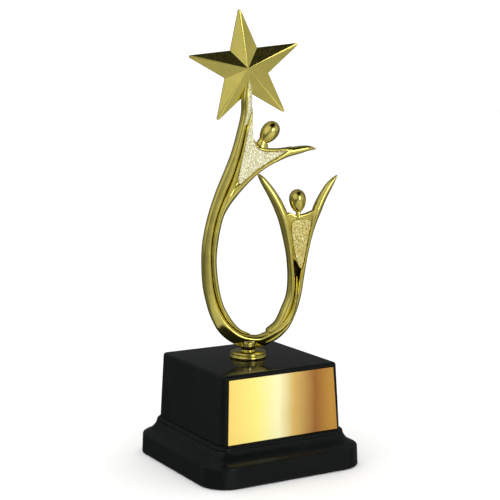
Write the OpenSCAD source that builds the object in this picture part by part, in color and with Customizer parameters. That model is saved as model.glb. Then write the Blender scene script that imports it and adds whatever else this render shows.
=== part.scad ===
// Star trophy: two cast figures and a ribbon that rises to a star, on a collar and a hollow plinth.
// Frame: +Z up, the front of the plinth faces -Y, origin in the middle of the felt's underside.
// The cast figure is drawn flat: u to the right, v up from the plinth's top, w towards the front.

/* [Plinth] */
// Width of the skirt at its rim
skirt_w = 120; // [110:1:140]
// Height of the plinth's top above the table
plinth_h = 71; // [66:1:76]
// Height of the joint between the skirt and the block
joint_h = 25.5; // [24:0.5:27]
// Width of the block at the joint
block_w = 93.8; // [90:0.2:100]
// Lean of the block's sides, in degrees
draft = 3.15; // [1:0.05:4]
// Wall of both plinth mouldings
wall = 2.4; // [2:0.1:3]
// Corner radius of the block at the joint
block_corner_r = 6; // [5.5:0.1:8]

/* [Engraving plate] */
// Width of the plate along its lower edge
plate_w = 84.6; // [70:0.2:86]
// Width of the plate along its upper edge
plate_top_w = 80.4; // [66:0.2:82]
// Height of the plate along the sloping face
plate_h = 42.4; // [30:0.2:43]
// Thickness of the metal plate
plate_t = 0.6; // [0.5:0.1:1]
// Thickness of the double-sided tape
tape_t = 0.3; // [0.2:0.1:0.8]

/* [Figure] */
// Turn of the figure about the rod, in degrees
figure_turn = 17.2; // [0:0.1:30]
// Size of the cast figure against its pattern
figure_size = 1; // [0.95:0.01:1.05]

/* [Star] */
// Radius of the circle through the star's sharp points
star_r = 41.5; // [38:0.5:46]
// Height of the front facets at the star's middle
star_rise = 7.4; // [5:0.1:9]
// Half thickness of the rim around the star
star_rim = 0.6; // [0.5:0.1:1]
// Lean of the star to the left, in degrees
star_lean = 6.5; // [0:0.5:12]

/* [Rod and nut] */
// Diameter of the centre rod's thread
rod_d = 6; // [5:1:6]
// Pitch of the thread
rod_pitch = 1; // [0.8:0.1:1.2]

/* [Hidden] */

gold = [0.75, 0.65, 0.25];
frosted = [0.90, 0.87, 0.68];
black = [0.06, 0.06, 0.06];
steel = [0.62, 0.63, 0.65];
eps = 0.01;

// Plinth heights, from the table up
felt_t = 1.6;
rim_z = 0.5;
cover_t = 1.8;
cover_top = felt_t + cover_t;
edge_z = 13.0;
cove_z = 15.0;
bead_z = 23.0;
flange_z = 22.8;
top_t = 2.8;
ballast_t = 10;
ballast_half = 41;
ballast_corner_r = 4;

// Half size of the square that joins the centres of the plinth's four round corners
core = block_w / 2 - block_corner_r;
skirt_d = skirt_w / 2 - core;
edge_d = skirt_d - 0.5;
edge_r = 1.7;
clear = 0.15;

// Rod stack, from the ballast down
rod_r = rod_d / 2;
rod_hole_r = rod_r + 0.25;
washer_r = 9;
washer_t = 1.6;
lock_r = 5.9;
lock_t = 1.5;
nut_t = 5;
nut_flats = 10;
ballast_z = flange_z - ballast_t;
washer_z = ballast_z - washer_t;
lock_z = washer_z - lock_t;
nut_z = lock_z - nut_t;
rod_bottom = nut_z - 0.4;
collar_h = 6;
rod_top = plinth_h + collar_h + 4.5;

// Cover screws, each in a post that stands in a corner of the skirt
post_r = 4.4;
post_inset = 9;
screw_at = core + (skirt_d - post_inset) * cos(45);
screw_pilot_r = 1.3;
screw_shank_r = 1.2;
screw_hole_r = 1.5;
screw_head_r = 2.8;
screw_len = 8;
post_top = 15.4;

// Cast strands: [u, v, half width, half depth, w] along each one, and the ribbon's also has a sixth
// value, the tilt of its flat front face to the outer side, in degrees
ribbon_path = [
    [-0.5, 189.5, 0.9, 1.3, 3.6, 0], [-0.9, 184.5, 2.6, 2.4, 2.0, 0], [-1.2, 177, 3.8, 3.2, 1.2, 0],
    [-1.5, 168.5, 3.6, 3.5, 0.5, 0], [-3.4, 160.5, 2.9, 3.8, 0, 0], [-8.2, 142, 3.1, 4, 0, 3],
    [-12.9, 128.5, 3.6, 4, 0, 6], [-19.9, 112, 3.5, 4, 0, 8], [-25.7, 94.5, 3.3, 4, 0, 9],
    [-28.7, 76, 3.6, 4.2, 0, 10], [-28.3, 55, 3.9, 4.3, 0, 11], [-26.0, 41, 3.8, 4.5, 0, 12],
    [-22.1, 29.8, 4.2, 4.7, 0, 13], [-15.9, 20.5, 4.9, 4.9, 0, 14], [-6.6, 13.4, 4.8, 5, 0, 15],
    [4.5, 10.9, 4.5, 5, 0, 15], [12.2, 12.6, 4.4, 5, 0, 13], [21.5, 18.9, 3.2, 5.1, 0.3, 7],
    [28.4, 27, 2.3, 5.2, 0.6, 0], [31.9, 36, 1.6, 5.1, 0.6, 0], [33.3, 47.3, 1.0, 4.6, 0.3, 0],
    [33.6, 56, 0.4, 3.6, 0, 0]];
tall_left_path = [
    [2.6, 171, 0.4, 1, 0.5], [2.0, 165.5, 1.0, 1.8, 0.4],
    [0.5, 160, 1.6, 2.6, 0.3], [-1.3, 155, 1.2, 3.2, 0.2],
    [-3.2, 146, 1.1, 3.6, 0], [-5.2, 138, 1.2, 3.8, 0], [-7.7, 130, 1.5, 3.9, 0],
    [-10.3, 121, 1.9, 4, 0], [-13.4, 113.6, 2.0, 4, 0], [-16.3, 107, 2.0, 4, 0],
    [-18.9, 100, 1.6, 3.8, 0]];
tall_right_path = [
    [46.6, 143, 0.7, 0.8, 0.5], [42, 143.4, 1.8, 2.2, 0.4], [35.5, 142.4, 2.7, 3.2, 0],
    [27.5, 140.6, 3.0, 3.7, 0], [20.4, 136.8, 2.1, 3.9, 0], [12.9, 132.7, 1.7, 4, 0],
    [4.6, 127, 1.8, 4, 0], [-3.6, 120, 2.4, 4, 0], [-10.4, 113.8, 3.4, 4, 0],
    [-15.6, 106.4, 3.0, 4, 0], [-19.8, 97, 2.4, 4, 0], [-23.1, 82, 2.4, 4, 0],
    [-24.3, 67, 2.3, 4, 0], [-22.7, 51, 2.1, 4, 0], [-19.5, 38, 1.8, 4, 0],
    [-15, 28.8, 1.8, 3.6, 0], [-10.6, 22.9, 1.5, 3.2, 0],
    [-5.4, 18.6, 1.0, 2.6, 0], [0.8, 16.3, 0.4, 1.6, 0]];
tall_top_path = [
    [3.2, 149, 1.2, 3, 0], [6.6, 144.2, 1.4, 3.6, 0], [12.8, 142.6, 1.3, 3.7, 0],
    [21, 142.6, 1.2, 3.6, 0], [29, 142.5, 2.2, 3.4, 0]];
tall_neck_path = [[8.4, 142, 5.0, 3.2, 0], [9.4, 145.6, 4.4, 3, 0], [10.5, 149.2, 3.2, 2.8, 0]];
small_left_path = [
    [6.6, 126.6, 0.7, 0.9, 0.4], [10.4, 121.8, 2.2, 2.4, 0.2], [16.5, 112.9, 3.2, 3.4, 0],
    [21.7, 103.2, 3.7, 4, 0], [25.4, 93.5, 3.8, 4.2, 0], [28.2, 79, 3.1, 4.2, 0],
    [29.4, 68, 2.4, 4.2, 0], [30.4, 54, 2.6, 4.4, 0], [29.7, 42, 3.1, 4.6, 0],
    [26.1, 31.5, 3.5, 4.8, 0], [21.2, 22.8, 2.9, 5, 0], [15, 18, 2.6, 4.9, 0]];
small_right_path = [
    [62.2, 124.2, 0.7, 0.9, 0.4], [57.4, 118.2, 2.4, 2.4, 0.2], [52.2, 109.5, 3.0, 3.4, 0],
    [48.2, 100.5, 3.2, 4, 0], [45.2, 91, 2.3, 4.2, 0], [42.4, 80, 1.7, 4.2, 0],
    [39.2, 66, 2.0, 4.2, 0], [37.1, 54, 2.1, 4.4, 0], [34.7, 41.5, 2.4, 4.6, 0],
    [31, 30.2, 2.6, 4.8, 0], [25.9, 20.6, 2.7, 5, 0], [18.6, 13.6, 2.4, 4.9, 0],
    [12.3, 10.6, 1.5, 4.3, 0]];
small_neck_path = [[35.4, 94.5, 3.0, 3.4, 0], [35.3, 97, 1.8, 2.4, 0], [35.1, 100.8, 1.6, 1.9, 0]];

// Webs between the strands and the frosted panels that lie in them: corners of each outline
tall_web = [[0.5, 160], [-3, 147], [-7, 131], [-10, 120], [-10, 114], [-4, 119], [5, 126.5],
    [13, 132.5], [21, 137], [30, 141], [21, 142.8], [12, 142.6], [7, 143.6], [3.4, 149], [2.4, 158]];
tall_panel = [[2.4, 163], [-0.1, 156.4], [-2.0, 147.6], [-3.9, 139.2], [-6.0, 129.8], [-7.4, 122.4],
    [-5.8, 119.9], [-2.4, 122.6], [5.4, 129], [13.6, 134.3], [20.8, 138.5], [25.4, 141.8],
    [15.2, 141.4], [8.4, 142.6], [4.4, 146.9], [3.0, 153]];
small_web = [[24, 96], [29, 99.4], [34, 97.4], [40, 98.6], [46, 100], [45, 91], [42.4, 80],
    [39.2, 68], [36.4, 61.2], [33.6, 65.6], [30.4, 70], [28.2, 79], [25.4, 90]];
small_panel = [[30.2, 92.4], [33.8, 94.8], [39.2, 95], [43.8, 92.6], [42.2, 84], [39.8, 71],
    [38, 62.8], [36.2, 61.4], [33.4, 67.5], [30.9, 80]];

// Thin web that closes the slit between the small figure's legs, at the back
slit_web = [[30.6, 70], [38.4, 70], [36.6, 56], [35.4, 44], [31.2, 44], [31, 56]];
slit_web_t = 1.4;
web_back = -3;
panel_seat = 1.8;
web_lap = 0.4;
web_t = panel_seat + web_lap - web_back;
panel_t = 1.2;

// The ribbon's crest, where its flat face begins, as a part of the half width from the middle
crest_at = 0.45;
face_crown = 0.3;

// Heads: [u, v, half width, half length, tilt to the right in degrees, where the neck cuts it off]
tall_head = [14.6, 154.3, 5.9, 8.4, 37, 0.82];
small_head = [34.7, 107.4, 5.7, 8.1, -4, 0.9];
pin_r = 0.8;
pin_len = 6;

// Star, in the same drawing as the strands
star_u = -1.75;
star_v = 197.4;
tip_r = 1;
star_back_rise = 4.6;
star_wall = 1.5;
star_hem = 5;
rivet_u = -1;
rivet_v = 184.5;
rivet_r = 1;
rivet_head_r = 2;
rivet_back = -3;
rivet_boss_r = 3;

function arc(cx, cy, r, a0, a1, n) =
    [for (i = [0:n]) let (a = a0 + (a1 - a0) * i / n) [cx + r * cos(a), cy + r * sin(a)]];

// One point of a Catmull-Rom curve between b and c
function curve(a, b, c, d, t) =
    0.5 * (2 * b + (c - a) * t + (2 * a - 5 * b + 4 * c - d) * t * t + (3 * b - a - 3 * c + d) * t * t * t);

// An open curve through the points p, with n steps from each point to the next
function spline(p, n) =
    [for (i = [0:len(p) - 2], k = [0:n - 1])
        curve(p[max(i - 1, 0)], p[i], p[i + 1], p[min(i + 2, len(p) - 1)], k / n), p[len(p) - 1]];

// A closed curve through the points p
function loop(p, n) =
    let (m = len(p))
    [for (i = [0:m - 1], k = [0:n - 1])
        curve(p[(i + m - 1) % m], p[i], p[(i + 1) % m], p[(i + 2) % m], k / n)];

// How far a strand's flat front face is planed below the oval's top, as a part of the half depth
function face_drop(tilt) = (1 - sqrt(1 - crest_at * crest_at)) * min(1, tilt / 8);

// The height of the oval of half width rw and half depth rd at the angle a, under the tilted face
function oval_height(rw, rd, a, tilt) =
    tilt == 0 ? rd * sin(a) :
    min(rd * sin(a), rd * (1 - face_drop(tilt)) - rw * (crest_at - cos(a)) * tan(tilt)
        - face_crown * cos(a) * cos(a));

// A rounded cross-section ring of a strand at s, square to the direction dir
function ring(s, dir, grow) =
    let (d = dir / norm(dir), tilt = len(s) > 5 ? s[5] : 0)
    [for (a = [0:22.5:337.5]) [
        s[0] - d[1] * (s[2] + grow) * cos(a),
        s[1] + d[0] * (s[2] + grow) * cos(a),
        s[4] + oval_height(s[2] + grow, s[3] + grow, a, tilt)]];

// A strand is a chain of short links, each the convex skin of two neighbouring rings
module strand(path, steps = 2, grow = 0) {
    s = spline(path, steps);
    last = len(s) - 1;
    rings = [for (i = [0:last])
        let (a = s[max(i - 1, 0)], b = s[min(i + 1, last)]) ring(s[i], [b[0] - a[0], b[1] - a[1]], grow)];
    n = len(rings[0]);
    for (i = [0:last - 1]) {
        hull() polyhedron(
            points = concat(rings[i], rings[i + 1]),
            faces = concat(
                [[for (k = [0:n - 1]) k], [for (k = [n - 1:-1:0]) n + k]],
                [for (k = [0:n - 1]) [k, n + k, n + (k + 1) % n, (k + 1) % n]]));
    }
}

// Puts the figure's flat drawing upright on the plinth
module figure_frame() {
    translate([0, 0, plinth_h]) rotate([0, 0, -figure_turn]) rotate([90, 0, 0]) scale(figure_size) children();
}

// Sweeps a wall section around a square with round corners; the section's x is measured from half size c
module around(c) {
    for (side = [0:3]) {
        rotate([0, 0, 90 * side]) {
            translate([c, c, 0]) rotate_extrude(angle = 90, $fn = 64) children();
            translate([c, 0, 0]) rotate([90, 0, 0]) linear_extrude(2 * c, center = true) children();
        }
    }
}

module middle(c, z0, z1) {
    translate([-c, -c, z0]) cube([2 * c, 2 * c, z1 - z0]);
}

// A flat plate with round corners
module rounded_plate(c, r, z0, z1) {
    around(c) translate([0, z0]) square([r, z1 - z0]);
    middle(c, z0, z1);
}

// The block's outer form up to height top, around corner centres at half size c
module block_form(c, top, top_edge_r) {
    d_top = block_corner_r - (top - joint_h) * tan(draft);
    r = min(top_edge_r, d_top - 0.1);
    around(c) polygon(concat(
        [[0, joint_h], [block_corner_r, joint_h]],
        arc(d_top - r, top - r, r, 0, 90, 6),
        [[0, top]]));
    middle(c, joint_h, top);
}

// A hollow curve that sweeps inwards from the low point a, then up to b
function cove(a, b) =
    let (t0 = 17, t1 = 71, n = 10)
    [for (i = [0:n])
        let (t = t0 + (t1 - t0) * i / n,
            across = (sin(t) - sin(t0)) / (sin(t1) - sin(t0)),
            up = (cos(t0) - cos(t)) / (cos(t0) - cos(t1)))
        [a[0] + (b[0] - a[0]) * across, a[1] + (b[1] - a[1]) * up]];

// The skirt's form: rim, upright side, rounded edge, hollow cove and, outside only, the bead at the joint
module skirt_form(c, bottom, top, bead) {
    bead_r = joint_h - bead_z;
    around(c) polygon(concat(
        [[0, bottom], [skirt_d, bottom]],
        arc(edge_d - edge_r, edge_z, edge_r, 0, 80, 5),
        cove([edge_d - edge_r - 0.1, cove_z], [block_corner_r + bead_r, bead_z]),
        bead ? arc(block_corner_r + 0.1, bead_z, bead_r, 0, 90, 6) : [],
        [[0, top]]));
    middle(c, bottom, top);
}

module at_corners(half) {
    for (x = [-half, half], y = [-half, half]) {
        translate([x, y, 0]) children();
    }
}

// Lays a drawing on the block's sloping front face, its origin at the middle of the lower edge
module on_front_face() {
    translate([0, -block_w / 2, joint_h]) rotate([90 - draft, 0, 0]) children();
}

module plinth_block() {
    rib_t = 1.6;
    boss_r = 8;
    boss_z = 60;
    rib_z = boss_z + 2;
    top_edge_r = 2;
    color(black) difference() {
        union() {
            difference() {
                block_form(core, plinth_h, top_edge_r);
                translate([0, 0, -eps]) block_form(core - wall, plinth_h - top_t, top_edge_r / 2);
            }
            translate([0, 0, boss_z]) cylinder(r = boss_r, h = plinth_h - top_t - boss_z + eps, $fn = 64);
            for (turn = [0, 90]) {
                rotate([0, 0, turn]) translate([-core, -rib_t / 2, rib_z])
                    cube([2 * core, rib_t, plinth_h - top_t - rib_z + eps]);
            }
        }
        translate([0, 0, boss_z - 1]) cylinder(r = rod_hole_r, h = 20, $fn = 64);
    }
}

module plinth_skirt() {
    opening_half = 33;
    rib_t = 2.1;
    rib_h = 3;
    rib_gap = 0.4;
    color(black) difference() {
        union() {
            difference() {
                skirt_form(core, rim_z, joint_h, true);
                translate([0, 0, -eps]) skirt_form(core - wall, rim_z, flange_z, false);
            }
            around(core - wall) translate([block_corner_r - rib_gap - rib_t, joint_h - eps])
                square([rib_t, rib_h]);
            at_corners(screw_at) translate([0, 0, cover_top])
                cylinder(r = post_r, h = post_top - cover_top, $fn = 48);
        }
        translate([0, 0, flange_z - 1]) linear_extrude(joint_h) square(2 * opening_half, center = true);
        at_corners(screw_at) translate([0, 0, cover_top - 1])
            cylinder(r = screw_pilot_r, h = screw_len + 2, $fn = 32);
    }
}

module ballast_plate() {
    color(steel) difference() {
        rounded_plate(ballast_half - ballast_corner_r, ballast_corner_r, ballast_z, flange_z - 2 * eps);
        translate([0, 0, ballast_z - 1]) cylinder(r = rod_hole_r, h = ballast_t + 2, $fn = 64);
    }
}

module base_cover() {
    edge_gap = 0.35;
    sink = 1.5;
    color([0.10, 0.09, 0.08]) difference() {
        rounded_plate(core - wall, skirt_d - edge_gap, felt_t, cover_top);
        at_corners(screw_at) translate([0, 0, felt_t - eps]) {
            cylinder(r = screw_hole_r, h = cover_t + 1, $fn = 32);
            cylinder(r1 = screw_head_r + 0.1, r2 = screw_hole_r, h = sink, $fn = 32);
        }
    }
}

module cover_screws() {
    color(steel) at_corners(screw_at) translate([0, 0, felt_t + 0.1]) rotate_extrude($fn = 48)
        polygon([[0, 0], [screw_head_r, 0], [screw_shank_r, 1.4], [screw_shank_r, screw_len - 1.4],
            [0.3, screw_len], [0, screw_len]]);
}

module felt_pad() {
    edge_gap = 1.6;
    color([0.10, 0.25, 0.14]) rounded_plate(core - wall, skirt_d - edge_gap, 0, felt_t);
}

module engraving_plate() {
    above_joint = 0.4;
    color([0.85, 0.62, 0.28]) on_front_face() translate([0, above_joint, tape_t]) linear_extrude(plate_t)
        polygon([
            [-plate_w / 2, 0], [plate_w / 2, 0], [plate_top_w / 2, plate_h], [-plate_top_w / 2, plate_h]]);
}

module plate_tape() {
    strip_h = 9;
    strip_w = plate_w - 12;
    strip_inset = 4;
    color([0.80, 0.80, 0.78]) on_front_face() for (y = [strip_inset, plate_h - strip_h - strip_inset + 1]) {
        translate([-strip_w / 2, y, 0]) cube([strip_w, strip_h, tape_t]);
    }
}

module collar() {
    disc_r = 12.75;
    neck_r = 5.2;
    color(gold) translate([0, 0, plinth_h]) difference() {
        rotate_extrude($fn = 96) polygon(concat(
            [[0, 0], [disc_r - 0.5, 0]],
            arc(disc_r - 1.3, 1.3, 1.3, -60, 60, 6),
            [[disc_r - 1.1, 2.7]],
            arc(disc_r - 1.5, 3.7, 0.95, -50, 80, 7),
            [[neck_r + 1, 4.8]],
            arc(neck_r - 0.5, 5.35, 0.6, -50, 60, 6),
            [[neck_r - 0.3, collar_h], [0, collar_h]]));
        translate([0, 0, -1]) cylinder(r = rod_hole_r, h = collar_h + 2, $fn = 64);
    }
}

module centre_rod() {
    root_r = rod_r - 0.4;
    turns = floor((rod_top - rod_bottom) / rod_pitch) - 1;
    thread = [for (i = [0:turns], side = [0:1])
        [side == 0 ? root_r : rod_r, rod_bottom + (i + 0.5 * side + 0.2) * rod_pitch]];
    color(steel) rotate_extrude($fn = 48) polygon(concat(
        [[0, rod_bottom], [root_r, rod_bottom]], thread, [[root_r, rod_top], [0, rod_top]]));
}

module flat_washer() {
    color(steel) translate([0, 0, washer_z]) difference() {
        cylinder(r = washer_r, h = washer_t, $fn = 64);
        translate([0, 0, -1]) cylinder(r = rod_r + 0.2, h = washer_t + 2, $fn = 64);
    }
}

// A spring washer: a ring with a slanted split
module lock_washer() {
    split_w = 0.7;
    color(steel) translate([0, 0, lock_z]) difference() {
        cylinder(r = lock_r, h = lock_t, $fn = 64);
        translate([0, 0, -1]) cylinder(r = rod_r + 0.1, h = lock_t + 2, $fn = 64);
        translate([4.5, 0, lock_t / 2]) rotate([25, 0, 0]) cube([5, split_w, 6], center = true);
    }
}

module hex_nut() {
    corner_r = nut_flats / 2 / cos(30);
    bevel = 0.7;
    color(steel) translate([0, 0, nut_z]) difference() {
        intersection() {
            cylinder(r = corner_r, h = nut_t, $fn = 6);
            rotate_extrude($fn = 64) polygon([[0, 0], [nut_flats / 2, 0], [corner_r, bevel],
                [corner_r, nut_t - bevel], [nut_flats / 2, nut_t], [0, nut_t]]);
        }
        translate([0, 0, -1]) cylinder(r = rod_r + 0.05, h = nut_t + 2, $fn = 64);
    }
}

// Outer strand: from the star down the left side, round under the ring to the small figure's feet
module ribbon() {
    foot_r = 5.2;
    foot_h = 5;
    foot_z = plinth_h + collar_h;
    color(gold) difference() {
        union() {
            figure_frame() strand(ribbon_path);
            translate([0, 0, foot_z]) cylinder(r = foot_r, h = foot_h, $fn = 32);
        }
        translate([-20, -20, foot_z - 10]) cube([40, 40, 10]);
        translate([0, 0, foot_z - 1]) cylinder(r = rod_r + clear, h = rod_top - foot_z + 1.3, $fn = 32);
        rivet_hole();
    }
}

// Clearance for the star's rivet
module rivet_hole() {
    figure_frame() translate([rivet_u, rivet_v, rivet_back - 1])
        cylinder(r = rivet_r + clear, h = 9, $fn = 24);
}

// Seat for a frosted panel, open to the front
module panel_seat_cut(outline) {
    translate([0, 0, panel_seat]) linear_extrude(8) offset(delta = clear) polygon(loop(outline, 4));
}

// Lays a part's axis along the head h, pointing down its neck
module down_neck(h) {
    translate([h[0], h[1], 0]) rotate([0, 0, -h[4]]) rotate([90, 0, 0]) children();
}

module head_socket(h) {
    down_neck(h) translate([0, 0, h[3] * h[5] - pin_len / 2 - clear])
        cylinder(r = pin_r + clear, h = pin_len + 2 * clear, $fn = 24);
}

module tall_figure_body() {
    color(gold) figure_frame() difference() {
        union() {
            strand(tall_left_path);
            strand(tall_right_path);
            strand(tall_top_path);
            strand(tall_neck_path);
            translate([0, 0, web_back]) linear_extrude(web_t) polygon(loop(tall_web, 3));
        }
        strand(ribbon_path, grow = clear);
        panel_seat_cut(tall_panel);
        head_socket(tall_head);
        head_room(tall_head);
    }
}

module small_figure_body() {
    color(gold) figure_frame() difference() {
        union() {
            strand(small_left_path);
            strand(small_right_path);
            strand(small_neck_path);
            translate([0, 0, web_back]) linear_extrude(slit_web_t) polygon(slit_web);
            translate([0, 0, web_back]) linear_extrude(web_t) polygon(loop(small_web, 3));
        }
        strand(ribbon_path, grow = clear);
        strand(tall_right_path, grow = clear);
        panel_seat_cut(small_panel);
        head_socket(small_head);
        head_room(small_head);
    }
}

// Clears the neck's end down to the flat that the head stands on
module head_room(h) {
    down_neck(h) translate([0, 0, -h[3]])
        cylinder(r = h[2] + 1, h = h[3] * (1 + h[5]) + 0.03, $fn = 32);
}

// An egg, narrow end down, cut flat where it stands on the neck
module head(h) {
    half = 11;
    low = asin(-h[5]);
    crown = 0.16;
    egg = [for (i = [0:half]) let (a = low + (90 - low) * i / half)
        [h[2] * cos(a) * (1 + crown * sin(a)), h[3] * sin(a)]];
    color(gold) figure_frame() translate([h[0], h[1], 0]) rotate([0, 0, -h[4]]) rotate([-90, 0, 0])
        difference() {
            rotate_extrude($fn = 64) polygon(concat([[0, -h[3] * h[5]]], egg));
            translate([0, 0, -h[3] * h[5] - 1])
                cylinder(r = pin_r + 0.02, h = pin_len / 2 + 1.15, $fn = 32);
        }
}

module head_pins() {
    color(steel) figure_frame() for (h = [tall_head, small_head]) {
        down_neck(h) translate([0, 0, h[3] * h[5] - pin_len / 2])
            cylinder(r = pin_r, h = pin_len, $fn = 32);
    }
}

module panel(outline) {
    color(frosted) figure_frame() translate([0, 0, panel_seat + 2 * eps])
        linear_extrude(panel_t) polygon(loop(outline, 4));
}

// Outline of the star with rounded points, first point up
function star_outline(r) =
    [for (i = [0:4], k = [0:5])
        let (a = 90 + 72 * i, c = r - tip_r / sin(18))
        k < 5 ? [c * cos(a), c * sin(a)] + tip_r * [cos(a - 72 + 36 * k), sin(a - 72 + 36 * k)]
              : r * sin(18) / sin(54) * [cos(a + 36), sin(a + 36)]];

// Half of a faceted star: a flat rim and ridges that rise to the middle
module star_form(r, rise, rim) {
    flat = star_outline(r);
    n = len(flat);
    polyhedron(
        points = concat(
            [for (p = flat) [p[0], p[1], 0]],
            [for (p = flat) [p[0], p[1], rim]],
            [[0, 0, rim + rise]]),
        faces = concat(
            [[for (k = [0:n - 1]) k]],
            [for (k = [0:n - 1]) [k, n + k, n + (k + 1) % n, (k + 1) % n]],
            [for (k = [0:n - 1]) [n + k, 2 * n, n + (k + 1) % n]]));
}

module star_place() {
    figure_frame() translate([star_u, star_v, 0]) rotate([0, 0, star_lean]) children();
}

module star_front() {
    color(gold) difference() {
        star_place() star_form(star_r, star_rise, star_rim);
        star_place() translate([0, 0, -eps])
            star_form(star_r - star_hem, star_rise - star_wall, star_rim / 2);
        figure_frame() strand(ribbon_path, grow = clear);
    }
}

module star_back() {
    color(gold) difference() {
        union() {
            star_place() mirror([0, 0, 1]) difference() {
                translate([0, 0, 2 * eps]) star_form(star_r, star_back_rise, star_rim);
                translate([0, 0, eps])
                    star_form(star_r - star_hem, star_back_rise - star_wall, star_rim / 2);
            }
            figure_frame() translate([rivet_u, rivet_v, rivet_back])
                cylinder(r = rivet_boss_r, h = -rivet_back - 2 * eps, $fn = 32);
        }
        figure_frame() strand(ribbon_path, grow = clear);
        rivet_hole();
    }
}

module star_rivet() {
    head_t = 0.8;
    color(steel) figure_frame() translate([rivet_u, rivet_v, rivet_back]) {
        cylinder(r = rivet_r, h = 6, $fn = 32);
        translate([0, 0, -head_t]) cylinder(r1 = 1.4, r2 = rivet_head_r, h = head_t, $fn = 32);
    }
}

plinth_block();
plinth_skirt();
ballast_plate();
base_cover();
cover_screws();
felt_pad();
engraving_plate();
plate_tape();
collar();
centre_rod();
flat_washer();
lock_washer();
hex_nut();
ribbon();
tall_figure_body();
head(tall_head);  // tall_figure_head
panel(tall_panel);  // tall_figure_inlay
small_figure_body();
head(small_head);  // small_figure_head
panel(small_panel);  // small_figure_inlay
head_pins();
star_front();
star_back();
star_rivet();
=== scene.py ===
# Star trophy: the looks of each piece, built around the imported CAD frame.
import math

import bpy
import numpy as np
import openvdb as vdb
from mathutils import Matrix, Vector

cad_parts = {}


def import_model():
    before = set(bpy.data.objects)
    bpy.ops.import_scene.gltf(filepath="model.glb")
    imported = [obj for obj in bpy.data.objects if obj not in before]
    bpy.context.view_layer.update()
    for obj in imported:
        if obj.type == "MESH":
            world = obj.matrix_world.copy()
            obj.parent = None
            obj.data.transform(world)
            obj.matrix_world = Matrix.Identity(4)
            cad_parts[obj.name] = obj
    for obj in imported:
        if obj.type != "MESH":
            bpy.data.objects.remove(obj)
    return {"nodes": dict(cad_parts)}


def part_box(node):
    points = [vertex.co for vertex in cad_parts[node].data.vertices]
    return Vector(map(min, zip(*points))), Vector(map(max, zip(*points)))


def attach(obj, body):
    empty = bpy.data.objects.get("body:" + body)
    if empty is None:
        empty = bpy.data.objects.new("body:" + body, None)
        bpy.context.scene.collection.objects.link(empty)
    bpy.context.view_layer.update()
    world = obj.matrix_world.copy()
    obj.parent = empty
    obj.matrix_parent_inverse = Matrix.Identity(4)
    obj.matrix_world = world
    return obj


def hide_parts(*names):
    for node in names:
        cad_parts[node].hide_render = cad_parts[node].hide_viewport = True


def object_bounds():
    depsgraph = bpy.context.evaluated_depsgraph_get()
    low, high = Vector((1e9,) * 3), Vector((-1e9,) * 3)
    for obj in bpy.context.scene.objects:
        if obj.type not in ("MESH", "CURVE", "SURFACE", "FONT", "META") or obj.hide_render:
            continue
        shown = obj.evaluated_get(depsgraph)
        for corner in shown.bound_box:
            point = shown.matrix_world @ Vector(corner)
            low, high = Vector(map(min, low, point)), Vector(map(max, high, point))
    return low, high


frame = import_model()
cad_low, cad_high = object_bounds()

MM = 0.001

# ---------------------------------------------------------------- frame
# The cast figure is drawn flat in millimetres: u to the right, v up from the plinth's top, w to the front.
FIGURE_TURN = math.radians(17.2)
PLINTH_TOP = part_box("plinth_block")[1].z / MM
COLLAR_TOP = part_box("collar")[1].z / MM
U_AXIS = np.array([math.cos(FIGURE_TURN), -math.sin(FIGURE_TURN), 0.0])
V_AXIS = np.array([0.0, 0.0, 1.0])
W_AXIS = np.array([-math.sin(FIGURE_TURN), -math.cos(FIGURE_TURN), 0.0])


def to_frame(points):
    """Points of the flat drawing, as points of the row frame in metres."""
    p = np.asarray(points, float)
    world = p[:, :1] * U_AXIS + p[:, 1:2] * V_AXIS + p[:, 2:3] * W_AXIS
    world[:, 2] += PLINTH_TOP
    return world * MM


# Cast strands: [u, v, half width, half depth, w] along each one, and the ribbon's also has a sixth
# value, the tilt of its flat front face to the outer side, in degrees
RIBBON = [
    [-0.5, 189.5, 0.9, 1.3, 3.6, 0], [-0.9, 184.5, 2.6, 2.4, 2.0, 0], [-1.2, 177, 3.8, 3.2, 1.2, 0],
    [-1.5, 168.5, 3.6, 3.5, 0.5, 0], [-3.4, 160.5, 2.9, 3.8, 0, 0], [-8.2, 142, 3.1, 4, 0, 3],
    [-12.9, 128.5, 3.6, 4, 0, 6], [-19.9, 112, 3.5, 4, 0, 8], [-25.7, 94.5, 3.3, 4, 0, 9],
    [-28.7, 76, 3.6, 4.2, 0, 10], [-28.3, 55, 3.9, 4.3, 0, 11], [-26.0, 41, 3.8, 4.5, 0, 12],
    [-22.1, 29.8, 4.2, 4.7, 0, 13], [-15.9, 20.5, 4.9, 4.9, 0, 14], [-6.6, 13.4, 4.8, 5, 0, 15],
    [4.5, 10.9, 4.5, 5, 0, 15], [12.2, 12.6, 4.4, 5, 0, 13], [21.5, 18.9, 3.2, 5.1, 0.3, 7],
    [28.4, 27, 2.3, 5.2, 0.6, 0], [31.9, 36, 1.6, 5.1, 0.6, 0], [33.3, 47.3, 1.0, 4.6, 0.3, 0],
    [33.6, 56, 0.4, 3.6, 0, 0]]
TALL_LEFT = [
    [2.6, 171, 0.4, 1, 0.5], [2.0, 165.5, 1.0, 1.8, 0.4], [0.5, 160, 1.6, 2.6, 0.3],
    [-1.3, 155, 1.2, 3.2, 0.2], [-3.2, 146, 1.1, 3.6, 0], [-5.2, 138, 1.2, 3.8, 0],
    [-7.7, 130, 1.5, 3.9, 0], [-10.3, 121, 1.9, 4, 0], [-13.4, 113.6, 2.0, 4, 0],
    [-16.3, 107, 2.0, 4, 0], [-18.9, 100, 1.6, 3.8, 0]]
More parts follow.
